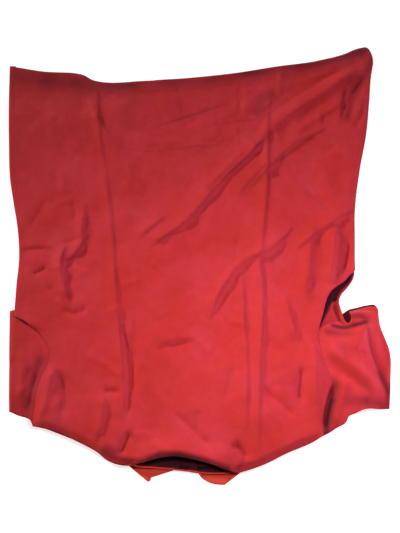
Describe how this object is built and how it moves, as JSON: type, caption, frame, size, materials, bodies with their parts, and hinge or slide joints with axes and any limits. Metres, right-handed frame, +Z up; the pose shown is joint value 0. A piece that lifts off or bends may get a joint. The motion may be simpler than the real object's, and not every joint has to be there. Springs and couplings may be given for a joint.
{
  "type": "superhero cape",
  "caption": "Flared red cape with a cropped shoulder yoke, cap sleeve wings, two front panels and neck closure tabs, lying flat.",
  "frame": {"origin": "bottom centre of the box round the flat cape, on the surface that it lies on", "axes": "+Z up out of the surface; +Y from the neck to the hem; +X to the right with the neck near"},
  "size_m": [0.5684, 0.686, 0.02],
  "materials": {
    "cape_fabric": "soft satin jersey",
    "binding": "folded strip",
    "tab_fabric": "double ply",
    "thread": "sewing thread",
    "label": "satin ribbon",
    "hook_tape": "nylon hooks",
    "loop_tape": "nylon loops"
  },
  "bodies": {
    "yoke": {"back_yoke": "cape_fabric", "cape_panel_upper": "cape_fabric", "neck_binding": "binding", "shoulder_tape_left": "binding", "shoulder_tape_right": "binding", "armhole_binding_left": "binding", "armhole_binding_right": "binding", "yoke_hem": "cape_fabric", "care_label": "label"},
    "cape": {"cape_panel_lower": "cape_fabric", "bottom_hem": "cape_fabric", "side_hem_left": "cape_fabric", "side_hem_right": "cape_fabric", "hem_stitching": "thread"},
    "wing_left": {"wing_left": "cape_fabric", "wing_hem_left": "cape_fabric"},
    "wing_right": {"wing_right": "cape_fabric", "wing_hem_right": "cape_fabric"},
    "front_left": {"front_panel_left": "cape_fabric", "front_facing_left": "cape_fabric", "front_hem_left": "cape_fabric"},
    "front_right": {"front_panel_right": "cape_fabric", "front_facing_right": "cape_fabric", "front_hem_right": "cape_fabric"},
    "tab_left": {"neck_tab_left": "tab_fabric", "hook_patch": "hook_tape"},
    "tab_right": {"neck_tab_right": "tab_fabric", "loop_patch": "loop_tape"}
  },
  "joints": [
    {"name": "cape_fold", "type": "hinge", "parent": "yoke", "child": "cape", "pos_m": [-0.00375, -0.02954, 0.013], "axis": [1, 0, 0], "range_deg": [0, 120]},
    {"name": "wing_left_lift", "type": "hinge", "parent": "yoke", "child": "wing_left", "pos_m": [-0.23575, -0.16554, 0.0106], "axis": [0, 1, 0], "range_deg": [0, 75]},
    {"name": "wing_right_lift", "type": "hinge", "parent": "yoke", "child": "wing_right", "pos_m": [0.22825, -0.16554, 0.0106], "axis": [0, -1, 0], "range_deg": [0, 75]},
    {"name": "front_left_open", "type": "hinge", "parent": "yoke", "child": "front_left", "pos_m": [-0.0786, -0.31477, 0], "axis": [-0.9231, 0.3846, 0], "range_deg": [0, 165]},
    {"name": "front_right_open", "type": "hinge", "parent": "yoke", "child": "front_right", "pos_m": [0.0711, -0.31477, 0], "axis": [-0.9231, -0.3846, 0], "range_deg": [0, 165]},
    {"name": "tab_left_fold", "type": "hinge", "parent": "front_left", "child": "tab_left", "pos_m": [-0.04875, -0.31854, 0.002], "axis": [-1, 0, 0], "range_deg": [0, 100]},
    {"name": "tab_right_fold", "type": "hinge", "parent": "front_right", "child": "tab_right", "pos_m": [0.03825, -0.31854, 0.002], "axis": [-1, 0, 0], "range_deg": [0, 100]}
  ]
}
